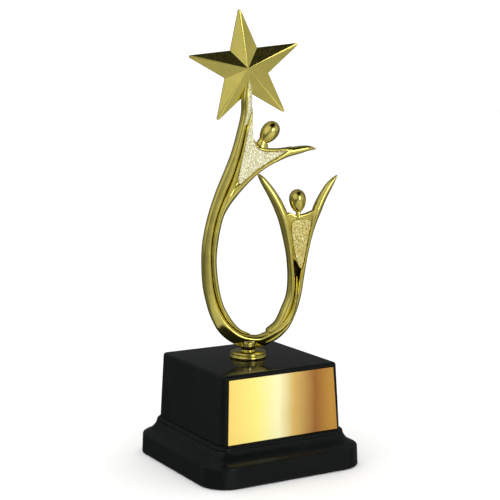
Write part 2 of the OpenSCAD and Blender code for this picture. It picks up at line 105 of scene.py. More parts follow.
TALL_RIGHT = [
    [46.6, 143, 0.7, 0.8, 0.5], [42, 143.4, 1.8, 2.2, 0.4], [35.5, 142.4, 2.7, 3.2, 0],
    [27.5, 140.6, 3.0, 3.7, 0], [20.4, 136.8, 2.1, 3.9, 0], [12.9, 132.7, 1.7, 4, 0],
    [4.6, 127, 1.8, 4, 0], [-3.6, 120, 2.4, 4, 0], [-10.4, 113.8, 3.4, 4, 0],
    [-15.6, 106.4, 3.0, 4, 0], [-19.8, 97, 2.4, 4, 0], [-23.1, 82, 2.4, 4, 0],
    [-24.3, 67, 2.3, 4, 0], [-22.7, 51, 2.1, 4, 0], [-19.5, 38, 1.8, 4, 0],
    [-15, 28.8, 1.8, 3.6, 0], [-10.6, 22.9, 1.5, 3.2, 0],
    [-5.4, 18.6, 1.0, 2.6, 0], [0.8, 16.3, 0.4, 1.6, 0]]
TALL_TOP = [
    [3.2, 149, 1.2, 3, 0], [6.6, 144.2, 1.4, 3.6, 0], [12.8, 142.6, 1.3, 3.7, 0],
    [21, 142.6, 1.2, 3.6, 0], [29, 142.5, 2.2, 3.4, 0]]
TALL_NECK = [[8.4, 142, 5.0, 3.2, 0], [9.4, 145.6, 4.4, 3, 0], [10.5, 149.2, 3.2, 2.8, 0]]
SMALL_LEFT = [
    [6.6, 126.6, 0.7, 0.9, 0.4], [10.4, 121.8, 2.2, 2.4, 0.2], [16.5, 112.9, 3.2, 3.4, 0],
    [21.7, 103.2, 3.7, 4, 0], [25.4, 93.5, 3.8, 4.2, 0], [28.2, 79, 3.1, 4.2, 0],
    [29.4, 68, 2.4, 4.2, 0], [30.4, 54, 2.6, 4.4, 0], [29.7, 42, 3.1, 4.6, 0],
    [26.1, 31.5, 3.5, 4.8, 0], [21.2, 22.8, 2.9, 5, 0], [15, 18, 2.6, 4.9, 0]]
SMALL_RIGHT = [
    [62.2, 124.2, 0.7, 0.9, 0.4], [57.4, 118.2, 2.4, 2.4, 0.2], [52.2, 109.5, 3.0, 3.4, 0],
    [48.2, 100.5, 3.2, 4, 0], [45.2, 91, 2.3, 4.2, 0], [42.4, 80, 1.7, 4.2, 0],
    [39.2, 66, 2.0, 4.2, 0], [37.1, 54, 2.1, 4.4, 0], [34.7, 41.5, 2.4, 4.6, 0],
    [31, 30.2, 2.6, 4.8, 0], [25.9, 20.6, 2.7, 5, 0], [18.6, 13.6, 2.4, 4.9, 0],
    [12.3, 10.6, 1.5, 4.3, 0]]
SMALL_NECK = [[35.4, 94.5, 3.0, 3.4, 0], [35.3, 97, 1.8, 2.4, 0], [35.1, 100.8, 1.6, 1.9, 0]]

# Corners of the webs between the strands, and of the frosted panels that lie in them
TALL_WEB = [[0.5, 160], [-3, 147], [-7, 131], [-10, 120], [-10, 114], [-4, 119], [5, 126.5],
            [13, 132.5], [21, 137], [30, 141], [21, 142.8], [12, 142.6], [7, 143.6], [3.4, 149], [2.4, 158]]
TALL_PANEL = [[2.4, 163], [-0.1, 156.4], [-2.0, 147.6], [-3.9, 139.2], [-6.0, 129.8], [-7.4, 122.4],
              [-5.8, 119.9], [-2.4, 122.6], [5.4, 129], [13.6, 134.3], [20.8, 138.5], [25.4, 141.8],
              [15.2, 141.4], [8.4, 142.6], [4.4, 146.9], [3.0, 153]]
SMALL_WEB = [[24, 96], [29, 99.4], [34, 97.4], [40, 98.6], [46, 100], [45, 91], [42.4, 80],
             [39.2, 68], [36.4, 61.2], [33.6, 65.6], [30.4, 70], [28.2, 79], [25.4, 90]]
SMALL_PANEL = [[30.2, 92.4], [33.8, 94.8], [39.2, 95], [43.8, 92.6], [42.2, 84], [39.8, 71],
               [38, 62.8], [36.2, 61.4], [33.4, 67.5], [30.9, 80]]
# A thin sheet at the back of the slit between the small figure's legs, which carries painted shade
SLIT_WEB = [[30.6, 70], [38.4, 70], [36.6, 56], [35.4, 44], [31.2, 44], [31, 56]]
SLIT_WEB_T = 1.4
WEB_BACK = -3.0
PANEL_SEAT = 1.8
PANEL_T = 1.2
SOLDER_GAP = 0.15

# The ribbon's crest, where its flat face begins, as a part of the half width from the middle
CREST_AT = 0.45
FACE_CROWN = 0.3
FACE_BLEND = 0.5
# The tilt in degrees from which the face is planed to its full depth
FULL_FACE_TILT = 8

# The boss under the ribbon, which stands on the collar round the rod
FOOT_V = COLLAR_TOP - PLINTH_TOP
FOOT_R = 5.2
FOOT_H = 5.0
BORE_R = 3.15
BORE_SPARE = 0.3

# Fillets where cast strands, webs and the foot run into each other
STRAND_FILLET = 0.9
WEB_FILLET = 0.8
FOOT_FILLET = 0.6
WEB_LAP = 0.4
# A height in front of every casting
IN_FRONT = 9.0

# Heads: [u, v, half width, half length, tilt to the right in degrees, where the neck cuts it off]
TALL_HEAD = [14.6, 154.3, 5.9, 8.4, 37, 0.82]
SMALL_HEAD = [34.7, 107.4, 5.7, 8.1, -4, 0.9]
HEAD_CROWN = 0.16
HEAD_GAP = 0.03
HEAD_ROOM = 1.5

# Star, in the same drawing
STAR_U, STAR_V = -1.75, 197.4
STAR_R = 41.5
STAR_LEAN = 6.5
STAR_RIM = 0.6
STAR_RISE, STAR_BACK_RISE = 7.4, 4.6
STAR_TIP_R = 1.0
STAR_SPLIT = 0.02
# Faces of the star that turn further away from the front than this cosine get painted shade, a darker gold
STAR_SHADE = 0.80

# Where the figures are cast: the box (u0, u1, v0, v1, w0, w1) round each casting
CAST_BOXES = {
    "ribbon": (-36, 38, 4, 193, -7, 7),
    "tall_figure_body": (-29, 50, 15, 174, -6, 6),
    "small_figure_body": (4, 66, 4, 130, -7, 7)}

# Painted shade along the soldered seams: the strands that lie beside the ribbon, and the height where each
# seam begins
SEAMS = {
    "tall_figure_body": ([TALL_LEFT, TALL_RIGHT], 0.0),
    "small_figure_body": ([SMALL_LEFT, SMALL_RIGHT], 42.0)}
SEAM_TOP = 160.0
SEAM_ON_BODY = 0.45
SEAM_ON_RIBBON = 0.20
# The depths of the slit that get painted shade, and the radius and height of the foot that gets a painted
# dark reflection of the black plinth
SLIT_W = (-2.6, 1.2)
DARK_FOOT_R = 5.6
DARK_FOOT_V = 8.0


# ---------------------------------------------------------------- curves and fields
def spline(points, steps, closed=False):
    """A Catmull-Rom curve through the points."""
    p = np.asarray(points, float)
    n = len(p)
    out = []
    for i in range(n if closed else n - 1):
        if closed:
            a, b, c, d = (p[(i + k) % n] for k in (-1, 0, 1, 2))
        else:
            a, b, c, d = p[max(i - 1, 0)], p[i], p[i + 1], p[min(i + 2, n - 1)]
        for t in np.arange(steps) / steps:
            out.append(0.5 * (2 * b + (c - a) * t + (2 * a - 5 * b + 4 * c - d) * t**2
                              + (3 * b - a - 3 * c + d) * t**3))
    if not closed:
        out.append(p[-1])
    return np.array(out)


def strand_field(path, uv, w):
    """Signed distance to a strand of oval section, at the flat points uv (n, 2) and the heights w (m)."""
    s = spline(path, 24)
    batch = 20000
    tangent = np.gradient(s[:, :2], axis=0)
    tangent /= np.linalg.norm(tangent, axis=1)[:, None]
    nearest = np.empty(len(uv), int)
    for i in range(0, len(uv), batch):
        d = uv[i:i + batch, None, :] - s[None, :, :2]
        nearest[i:i + batch] = np.einsum("nmk,nmk->nm", d, d).argmin(1)
    off = uv - s[nearest, :2]
    t = tangent[nearest]
    across = off[:, 0] * t[:, 1] - off[:, 1] * t[:, 0]
    along = (off * t).sum(1)
    beyond = np.where((nearest == 0) | (nearest == len(s) - 1), along, 0.0)
    half_w, half_d, mid = s[nearest, 2], s[nearest, 3], s[nearest, 4]
    a2 = (across**2 + beyond**2)[:, None]
    h2 = (w[None, :] - mid[:, None])**2
    rw, rd = half_w[:, None], half_d[:, None]
    k0 = np.sqrt(a2 / rw**2 + h2 / rd**2)
    k1 = np.sqrt(a2 / rw**4 + h2 / rd**4)
    oval = k0 * (k0 - 1) / np.maximum(k1, 1e-4)
    if s.shape[1] < 6:
        return oval
    tilt = np.radians(s[nearest, 5])[:, None]
    drop = (1 - math.sqrt(1 - CREST_AT**2)) * np.minimum(1, tilt / math.radians(FULL_FACE_TILT))
    face = rd * (1 - drop) - (across[:, None] + CREST_AT * rw) * np.tan(tilt)
    face = face - FACE_CROWN * (across[:, None] / rw)**2
    planed = -blend_min(-oval, -(w[None, :] - mid[:, None] - face) * np.cos(tilt), FACE_BLEND)
    return np.where(tilt > 0, planed, oval)


def outline_field(outline, uv):
    """Signed distance in the flat drawing to a closed outline."""
    a = np.asarray(outline, float)
    b = np.roll(a, -1, 0)
    best = np.full(len(uv), 1e9)
    inside = np.zeros(len(uv), bool)
    for p, q in zip(a, b):
        e = q - p
        rel = uv - p
        t = np.clip(rel @ e / (e @ e), 0, 1)
        best = np.minimum(best, np.linalg.norm(rel - t[:, None] * e, axis=1))
        crosses = (p[1] > uv[:, 1]) != (q[1] > uv[:, 1])
        rise = q[1] - p[1] if q[1] != p[1] else 1e-9
        inside ^= crosses & (uv[:, 0] < (q[0] - p[0]) * (uv[:, 1] - p[1]) / rise + p[0])
    return np.where(inside, -best, best)


def blend_min(a, b, k):
    """The union of two fields, with a fillet of about k where they meet."""
    h = np.clip(0.5 + 0.5 * (b - a) / k, 0, 1)
    return b + (a - b) * h - k * h * (1 - h)


def slab(flat, w, low, high):
    """A flat outline field made into a slab from low to high."""
    return np.maximum(flat[:, None], np.maximum(low - w, w - high)[None, :])


def field_mesh(name, build, box, step):
    """The surface of the field build(uv, w), sampled every step inside box (u0, u1, v0, v1, w0, w1)."""
    u = np.arange(box[0], box[1], step)
    v = np.arange(box[2], box[3], step)
    w = np.arange(box[4], box[5], step)
    gu, gv = np.meshgrid(u, v, indexing="ij")
    values = build(np.column_stack([gu.ravel(), gv.ravel()]), w).reshape(len(u), len(v), len(w))
    band = 3.0 * step
    grid = vdb.FloatGrid(band)
    grid.copyFromArray(np.clip(values, -band, band).astype(np.float32))
    points, tris, quads = grid.convertToPolygons(isovalue=0.0, adaptivity=0.0)
    points = points * step + np.array([box[0], box[2], box[4]])
    faces = [tuple(int(i) for i in f[::-1]) for f in list(quads) + list(tris)]
    return mesh_object(name, to_frame(points), faces)


def sampled(build, box, step):
    """The field build(uv, w) on a grid inside box, and a function that reads it between the grid's points."""
    axes = [np.arange(box[k], box[k + 1], step) for k in (0, 2, 4)]
    gu, gv = np.meshgrid(axes[0], axes[1], indexing="ij")
    values = build(np.column_stack([gu.ravel(), gv.ravel()]), axes[2]).reshape([len(a) for a in axes])
    origin = np.array([box[0], box[2], box[4]])

    def at(points):
        g = np.clip((points - origin) / step, 0, np.array(values.shape) - 1.001)
        i = g.astype(int)
        f = g - i
        total = 0.0
        for corner in range(8):
            bit = np.array([corner & 1, corner >> 1 & 1, corner >> 2])
            part = np.prod(np.where(bit, f, 1 - f), axis=1)
            total = total + part * values[tuple((i + bit).T)]
        return total
    return at


# ---------------------------------------------------------------- meshes
def mesh_object(name, verts, faces, smooth=True):
    mesh = bpy.data.meshes.new(name)
    mesh.from_pydata([tuple(v) for v in verts], [], faces)
    mesh.update()
    mesh.polygons.foreach_set("use_smooth", [smooth] * len(mesh.polygons))
    obj = bpy.data.objects.new(name, mesh)
    bpy.context.scene.collection.objects.link(obj)
    return obj


def settle(obj):
    """Applies the object's modifiers to its mesh."""
    depsgraph = bpy.context.evaluated_depsgraph_get()
    made = bpy.data.meshes.new_from_object(obj.evaluated_get(depsgraph))
    obj.modifiers.clear()
    obj.data = made
    return obj


def smooth_surface(obj, rounds):
    m = obj.modifiers.new("smooth", "SMOOTH")
    m.factor = 0.5
    m.iterations = rounds
    return settle(obj)


def bevel(obj, width, segments, angle):
    m = obj.modifiers.new("bevel", "BEVEL")
    m.width = width * MM
    m.segments = segments
    m.limit_method = "ANGLE"
    m.angle_limit = math.radians(angle)
    m.harden_normals = True
    return settle(obj)


def lathe(name, profile, segments, place=None, closed=False):
    """Turns a profile of (radius, height) in millimetres round the vertical, then places it."""
    verts, faces = [], []
    rings = []
    for r, z in profile:
        if r < 1e-6:
            rings.append([len(verts)])
            verts.append((0.0, 0.0, z))
            continue
        rings.append(list(range(len(verts), len(verts) + segments)))
        for k in range(segments):
            a = 2 * math.pi * k / segments
            verts.append((r * math.cos(a), r * math.sin(a), z))
    pairs = list(zip(rings, rings[1:])) + ([(rings[-1], rings[0])] if closed else [])
    for low, high in pairs:
        for k in range(segments):
            n = (k + 1) % segments
            if len(low) == 1:
                faces.append((low[0], high[n], high[k]))
            elif len(high) == 1:
                faces.append((low[k], low[n], high[0]))
            else:
                faces.append((low[k], low[n], high[n], high[k]))
    points = np.array(verts)
    return mesh_object(name, place(points) if place else points * MM, faces)


def square_loop(c, r, z, steps=14):
    """A horizontal square loop with round corners of radius r about corner centres at half size c."""
    loop = []
    for corner, (sx, sy) in enumerate(((1, 1), (-1, 1), (-1, -1), (1, -1))):
        for k in range(steps + 1):
            a = math.pi / 2 * (corner + k / steps)
            loop.append((sx * c + r * math.cos(a), sy * c + r * math.sin(a), z))
    return loop


def loft(name, loops, closed=False):
    """Skins loops of the same length; the first and last are capped unless the loft closes on itself."""
    n = len(loops[0])
    verts = [p for loop in loops for p in loop]
    faces = []
    count = len(loops)
    for i in range(count if closed else count - 1):
        a, b = i * n, (i + 1) % count * n
        faces += [(a + k, a + (k + 1) % n, b + (k + 1) % n, b + k) for k in range(n)]
    if not closed:
        faces.append(tuple(range(n))[::-1])
        faces.append(tuple(range((count - 1) * n, count * n)))
    return mesh_object(name, np.array(verts) * MM, faces)


def arc(cx, cy, r, a0, a1, n):
    angles = [math.radians(a0 + (a1 - a0) * i / n) for i in range(n + 1)]
    return [(cx + r * math.cos(a), cy + r * math.sin(a)) for a in angles]


def finish_piece(obj, mat, slot, *nodes):
    obj.data.materials.clear()
    obj.data.materials.append(mat)
    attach(obj, "root")
    if nodes:
        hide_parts(*nodes)
    return obj


def face_places(obj):
    """The middle of each face, in the flat drawing."""
    centre = np.empty(len(obj.data.polygons) * 3)
    obj.data.polygons.foreach_get("center", centre)
    p = centre.reshape(-1, 3) / MM
    return np.column_stack([p @ U_AXIS, p[:, 2] - PLINTH_TOP, p @ W_AXIS])


def paint(obj, mat, chosen):
    """Puts a further material on the chosen faces of a finished piece."""
    index = np.zeros(len(chosen), np.int32)
    obj.data.polygons.foreach_get("material_index", index)
    index[chosen] = len(obj.data.materials)
    obj.data.materials.append(mat)
    obj.data.polygons.foreach_set("material_index", index)
    obj.data.update()


# ---------------------------------------------------------------- materials
# Nearly all of a noise pattern's values lie between these two
NOISE_SPAN = (0.3, 0.7)
GOLD = (0.83, 0.715, 0.172)


class Shader:
    """A node material: a Principled shader and the noise, colour and bump nodes that feed it."""

    def __init__(self, name, base, metallic, roughness, **sockets):
        self.mat = bpy.data.materials.new(name)
        self.mat.use_nodes = True
        self.tree = self.mat.node_tree
        self.bsdf = next(n for n in self.tree.nodes if n.type == "BSDF_PRINCIPLED")
        self.base = (*base, 1.0)
        self.bsdf.inputs["Base Color"].default_value = self.base
        self.bsdf.inputs["Metallic"].default_value = metallic
        self.bsdf.inputs["Roughness"].default_value = roughness
        for socket, value in sockets.items():
            self.bsdf.inputs[socket.replace("_", " ")].default_value = value
        self.coords = self.node("ShaderNodeTexCoord").outputs["Object"]
        self.normal = None

    def node(self, kind, **values):
        made = self.tree.nodes.new(kind)
        for key, value in values.items():
            if hasattr(made, key):
                setattr(made, key, value)
            else:
                made.inputs[key.replace("_", " ")].default_value = value
        return made

    def link(self, a, b):
        self.tree.links.new(a, b)

    def noise(self, per_mm, detail=4.0, stretch=(1, 1, 1), roughness=0.55):
        """A noise pattern with about per_mm cells in a millimetre."""
        mapping = self.node("ShaderNodeMapping")
        mapping.inputs["Scale"].default_value = stretch
        self.link(self.coords, mapping.inputs["Vector"])
        made = self.node("ShaderNodeTexNoise", Scale=per_mm / MM, Detail=detail, Roughness=roughness)
        self.link(mapping.outputs["Vector"], made.inputs["Vector"])
        return made.outputs["Fac"]

    def cells(self, per_mm):
        made = self.node("ShaderNodeTexVoronoi", Scale=per_mm / MM)
        self.link(self.coords, made.inputs["Vector"])
        return made.outputs["Distance"]

    def ramp(self, source, stops):
        """source through a colour ramp of (place, colour) stops."""
        made = self.node("ShaderNodeValToRGB")
        for element, (place, colour) in zip(made.color_ramp.elements, (stops[0], stops[-1])):
            element.position, element.color = place, (*colour, 1)
        for place, colour in stops[1:-1]:
            made.color_ramp.elements.new(place).color = (*colour, 1)
        self.link(source, made.inputs["Fac"])
        return made.outputs["Color"]

    def colour(self, source):
        self.link(source, self.bsdf.inputs["Base Color"])
        return self

    def vary(self, source, dark, light):
        """The base colour between dark and light, as multiples of it."""
        tint = [[min(1.0, c * k) for c in self.base[:3]] for k in (dark, light)]
        start, end = NOISE_SPAN
        return self.colour(self.ramp(source, [(start, tint[0]), (end, tint[1])]))

    def rough(self, source, low, high):
        start, end = NOISE_SPAN
        made = self.node("ShaderNodeMapRange", From_Min=start, From_Max=end, To_Min=low, To_Max=high)
        self.link(source, made.inputs["Value"])
        self.link(made.outputs["Result"], self.bsdf.inputs["Roughness"])
        return self

    def bump(self, source, height_mm, strength=1.0):
        made = self.node("ShaderNodeBump", Distance=height_mm * MM, Strength=strength)
        self.link(source, made.inputs["Height"])
        if self.normal:
            self.link(self.normal, made.inputs["Normal"])
        self.normal = made.outputs["Normal"]
        self.link(self.normal, self.bsdf.inputs["Normal"])
        return self


def gold_cast():
    s = Shader("gold_cast", GOLD, 1.0, 0.12)
    s.vary(s.noise(0.09, 3), 0.84, 1.12)
    s.rough(s.noise(0.35, 6), 0.08, 0.17)
    return s.bump(s.noise(0.30, 2), 0.030, 0.35).bump(s.noise(2.5, 3), 0.002, 0.25).mat


def gold_star():
    s = Shader("gold_star", GOLD, 1.0, 0.2)
    s.vary(s.noise(0.07, 4), 0.90, 1.10)
    s.rough(s.noise(0.5, 6), 0.16, 0.25)
    return s.bump(s.noise(0.10, 2), 0.06, 0.30).bump(s.noise(1.5, 3), 0.0012, 0.25).mat


def frosted(name, metallic, height_mm, stops):
    """Sand-cast gold, rough with grains that catch the light."""
    grain_mm = 0.6
    s = Shader(name, stops[-1][1], metallic, 0.36)
    s.colour(s.ramp(s.noise(0.9, 7, (1, 1, 1), 0.7), stops))
    s.rough(s.noise(1.4, 5), 0.22, 0.46)
    return s.bump(s.cells(1 / grain_mm), height_mm, 0.8).bump(s.noise(2.2, 4), height_mm, 0.5).mat


def gold_collar():
    s = Shader("gold_collar", GOLD, 1.0, 0.10)
    s.vary(s.noise(0.2, 3), 0.9, 1.1)
    s.rough(s.noise(1.2, 5), 0.08, 0.16)
    return s.bump(s.noise(0.25, 3, (1, 1, 14)), 0.010, 0.4).mat


def gloss_black():
    s = Shader("gloss_black", (0.0042, 0.0052, 0.0050), 0.0, 0.10, IOR=1.25)
    s.vary(s.noise(0.05, 4), 0.8, 1.25)
    s.rough(s.noise(0.25, 8), 0.07, 0.15)
    return s.bump(s.noise(0.06, 2), 0.05, 0.12).bump(s.noise(2.2, 3), 0.003, 0.2).mat


def plate_gold():
    s = Shader("plate_gold", (0.90, 0.66, 0.22), 0.15, 0.34)
    split = s.node("ShaderNodeSeparateXYZ")
    s.link(s.node("ShaderNodeTexCoord").outputs["Generated"], split.inputs["Vector"])
    wobble = s.node("ShaderNodeMath", operation="MULTIPLY_ADD")
    s.link(s.noise(0.02, 3), wobble.inputs[0])
    wobble.inputs[1].default_value = 0.10
    s.link(split.outputs["X"], wobble.inputs[2])
    # Painted reflection: the plate's gold runs from orange-yellow through near white to dark brown along its
    # length, with a little noise in the bands
    s.colour(s.ramp(wobble.outputs["Value"], [
        (0.05, (0.98, 0.68, 0.16)), (0.30, (1.0, 0.89, 0.24)), (0.50, (1.0, 0.95, 0.53)),
        (0.65, (0.70, 0.46, 0.12)), (0.85, (0.32, 0.12, 0.012)), (1.0, (0.50, 0.25, 0.03))]))
    s.rough(s.noise(1.2, 5, (1, 1, 0.04)), 0.28, 0.40)
    return s.bump(s.noise(5, 2, (1, 1, 0.02)), 0.003, 0.4).mat


def plain_metal(name, base, roughness, grain, height):
    s = Shader(name, base, 1.0, roughness)
    s.vary(s.noise(grain * 0.4, 5), 0.75, 1.2)
    s.rough(s.noise(grain, 5), roughness * 0.8, roughness * 1.3)
    return s.bump(s.noise(grain * 2, 4), height, 0.5).mat


def matt(name, base, roughness, grain, height, spread=(0.7, 1.3), **sockets):
    s = Shader(name, base, 0.0, roughness, **sockets)
    s.vary(s.noise(grain * 0.5, 6), *spread)
    s.rough(s.noise(grain, 4), roughness * 0.9, min(1.0, roughness * 1.08))
    return s.bump(s.noise(grain * 2, 5), height, 0.8).mat


MATERIALS = {
    "gold_cast": gold_cast(),
    "gold_star": gold_star(),
    "frosted_pale": frosted("frosted_pale", 0.40, 0.24, [
        (0.34, (0.26, 0.22, 0.06)), (0.43, (0.62, 0.56, 0.22)), (0.52, (0.90, 0.88, 0.60)),
        (0.62, (1.0, 1.0, 0.92))]),
    "frosted_gold": frosted("frosted_gold", 0.70, 0.22, [
        (0.34, (0.26, 0.19, 0.04)), (0.46, (0.62, 0.50, 0.13)), (0.56, (0.86, 0.76, 0.28)),
        (0.68, (1.0, 1.0, 0.80))]),
    # The next two are painted: a darker gold as shade on the star's side faces, and a near black as shade in
    # the seams and the leg slit and as a dark reflection on the foot
    "gold_painted_shade": plain_metal("gold_painted_shade", (0.16, 0.135, 0.045), 0.3, 0.8, 0.01),
    "painted_shade_dark": plain_metal("painted_shade_dark", (0.030, 0.022, 0.008), 0.55, 0.8, 0.02),
    "gold_collar": gold_collar(),
    "gloss_black": gloss_black(),
    "plate_gold": plate_gold(),
    "zinc_steel": plain_metal("zinc_steel", (0.62, 0.63, 0.65), 0.32, 1.2, 0.02),
    "cast_iron": plain_metal("cast_iron", (0.16, 0.155, 0.15), 0.62, 0.8, 0.12),
    "hardboard": matt("hardboard", (0.055, 0.035, 0.022), 0.75, 1.2, 0.05),
    "felt": matt("felt", (0.012, 0.040, 0.018), 0.95, 2.5, 0.25, Sheen_Weight=0.5),
    "foam_tape": matt("foam_tape", (0.72, 0.71, 0.68), 0.85, 3.0, 0.06, (0.9, 1.06)),
}


# ---------------------------------------------------------------- cast figures
def ribbon_field(uv, w):
    """The ribbon with its foot, cut flat on the collar and bored for the rod."""
    v = uv[:, 1:2]
    radius = np.sqrt(uv[:, :1]**2 + w[None, :]**2)
    foot = np.maximum(np.maximum(radius - FOOT_R, FOOT_V - v), v - FOOT_V - FOOT_H)
    body = blend_min(strand_field(RIBBON, uv, w), foot, FOOT_FILLET)
    bore_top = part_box("centre_rod")[1].z / MM - PLINTH_TOP + BORE_SPARE
    bore = np.maximum(radius - BORE_R, v - bore_top)
    return np.maximum(np.maximum(body, FOOT_V - v), -bore)


def torso(strands, web, panel):
    """Strands joined by a web, with a seat in it for the frosted panel."""
    web_outline = spline(web, 6, closed=True)
    panel_outline = spline(panel, 8, closed=True)

    def field(uv, w):
        body = None
        for path in strands:
            part = strand_field(path, uv, w)
            body = part if body is None else blend_min(body, part, STRAND_FILLET)
        flat = outline_field(web_outline, uv)
        body = blend_min(body, slab(flat, w, WEB_BACK, PANEL_SEAT + WEB_LAP), WEB_FILLET)
        seat = slab(outline_field(panel_outline, uv) - SOLDER_GAP, w, PANEL_SEAT, IN_FRONT)
        return np.maximum(body, -seat)
    return field


def head_room(head, uv):
    """The room above a neck's end, where the head stands."""
    tilt = math.radians(head[4])
    up = np.array([math.sin(tilt), math.cos(tilt)])
    above = (uv - np.array(head[:2])) @ up + head[3] * head[5] - HEAD_GAP
    near = np.linalg.norm(uv - np.array(head[:2]), axis=1) - head[3] - HEAD_ROOM
    return np.maximum(-above, near)[:, None]


def tall_body_field(uv, w):
    body = torso([TALL_LEFT, TALL_RIGHT, TALL_TOP, TALL_NECK], TALL_WEB, TALL_PANEL)(uv, w)
    body = np.maximum(body, -head_room(TALL_HEAD, uv))
    return np.maximum(body, -(strand_field(RIBBON, uv, w) - SOLDER_GAP))


def small_body_field(uv, w):
    body = torso([SMALL_LEFT, SMALL_RIGHT, SMALL_NECK], SMALL_WEB, SMALL_PANEL)(uv, w)
    # The thin sheet that closes the back of the slit between the legs, which later gets painted shade
    slit = slab(outline_field(SLIT_WEB, uv), w, WEB_BACK, WEB_BACK + SLIT_WEB_T)
    body = np.minimum(body, slit)
    body = np.maximum(body, -head_room(SMALL_HEAD, uv))
    body = np.maximum(body, -(strand_field(RIBBON, uv, w) - SOLDER_GAP))
    return np.maximum(body, -(strand_field(TALL_RIGHT, uv, w) - SOLDER_GAP))


def strands_field(paths):
    def field(uv, w):
        return np.minimum.reduce([strand_field(path, uv, w) for path in paths])
    return field


def between(values, low, high):
    return (values > low) & (values < high)


def cast_pieces():
    step = 0.33
    fields = {
        "ribbon": ribbon_field,
        "tall_figure_body": tall_body_field,
        "small_figure_body": small_body_field}
    made = {}
    for name, field in fields.items():
        obj = field_mesh(name + "_cast", field, CAST_BOXES[name], step)
        smooth_surface(obj, 4)
        made[name] = finish_piece(obj, MATERIALS["gold_cast"], "gold_cast", name)
    return made


def paint_seam_shade(made):
    """Paints shade on both sides of the soldered seams, where a body lies beside the ribbon."""
    grid, far = 0.5, 9.0
    edge = face_places(made["ribbon"])
    for name, (paths, seam_from) in SEAMS.items():
        box = CAST_BOXES[name]
        body = face_places(made[name])
        near_ribbon = sampled(strands_field([RIBBON]), box, grid)(body)
        # Painted shade on the body's faces that lie next to the ribbon
        on_body = (near_ribbon < SEAM_ON_BODY) & between(body[:, 1], seam_from, SEAM_TOP)
        paint(made[name], MATERIALS["painted_shade_dark"], on_body)
        inside = ((edge > np.array(box[0::2])) & (edge < np.array(box[1::2]) - 1)).all(1)
        near_body = np.full(len(edge), far)
        near_body[inside] = sampled(strands_field(paths), box, grid)(edge[inside])
        # Painted shade on the ribbon's faces that lie next to the body
        on_ribbon = (near_body < SEAM_ON_RIBBON) & between(edge[:, 1], seam_from, SEAM_TOP)
        paint(made["ribbon"], MATERIALS["painted_shade_dark"], on_ribbon)


def paint_hollow_shade(made):
    """Paints shade into the slit between the small figure's legs, and a dark reflection of the black plinth
    onto the foot where it meets the collar.
    """
    body = face_places(made["small_figure_body"])
    # Painted shade on the sheet and walls at the back of the slit
    in_slit = (outline_field(SLIT_WEB, body[:, :2]) < 0.3) & between(body[:, 2], *SLIT_W)
    paint(made["small_figure_body"], MATERIALS["painted_shade_dark"], in_slit)
    edge = face_places(made["ribbon"])
    # Painted dark reflection of the black plinth on the foot under the ring
    foot = (np.hypot(edge[:, 0], edge[:, 2]) < DARK_FOOT_R) & (edge[:, 1] < DARK_FOOT_V)
    paint(made["ribbon"], MATERIALS["painted_shade_dark"], foot)


def frosted_stem(made):
    """Runs the frosted finish on up the right half of the ribbon's stem."""
    steps, links = 12, 5
    stem = spline(RIBBON, steps)[:steps * links][::-1]
    edge = face_places(made["ribbon"])
    stem_u = np.interp(edge[:, 1], stem[:, 1], stem[:, 0])
    on_stem = (edge[:, 1] > SEAM_TOP) & (edge[:, 0] > stem_u + 0.3) & (edge[:, 2] > 0.6)
    paint(made["ribbon"], MATERIALS["frosted_pale"], on_stem)


def head_place(head):
    """Stands a turned head on its neck, in the row frame."""
    tilt = math.radians(head[4])

    def place(points):
        u = head[0] + points[:, 0] * math.cos(tilt) + points[:, 2] * math.sin(tilt)
        v = head[1] - points[:, 0] * math.sin(tilt) + points[:, 2] * math.cos(tilt)
        return to_frame(np.column_stack([u, v, points[:, 1]]))
    return place


def heads():
    """Plain eggs, narrow end down, cut flat where they stand on the neck."""
    for name, head in (("tall_figure_head", TALL_HEAD), ("small_figure_head", SMALL_HEAD)):
        low = math.asin(-head[5])
        rows = 40
        egg = [(0.0, -head[3] * head[5])]
        for i in range(rows + 1):
            a = low + (math.pi / 2 - low) * i / rows
            egg.append((head[2] * math.cos(a) * (1 + HEAD_CROWN * math.sin(a)), head[3] * math.sin(a)))
        egg[-1] = (0.0, egg[-1][1])
        obj = lathe(name + "_egg", egg, 72, head_place(head))
        finish_piece(obj, MATERIALS["gold_cast"], "gold_cast", name)


def grain(points, size, seed):
    """Heights from 0 to 1 of a random grain, one cell every size, smoothed between cells."""
    rng = np.random.default_rng(seed)
    table = rng.random((256, 256))
    g = points / size
    i = np.floor(g).astype(int)
    f = g - i
    f = f * f * (3 - 2 * f)
    a, b = table[i[:, 0] % 256, i[:, 1] % 256], table[(i[:, 0] + 1) % 256, i[:, 1] % 256]
    c, d = table[i[:, 0] % 256, (i[:, 1] + 1) % 256], table[(i[:, 0] + 1) % 256, (i[:, 1] + 1) % 256]
    return (a + (b - a) * f[:, 0]) * (1 - f[:, 1]) + (c + (d - c) * f[:, 0]) * f[:, 1]


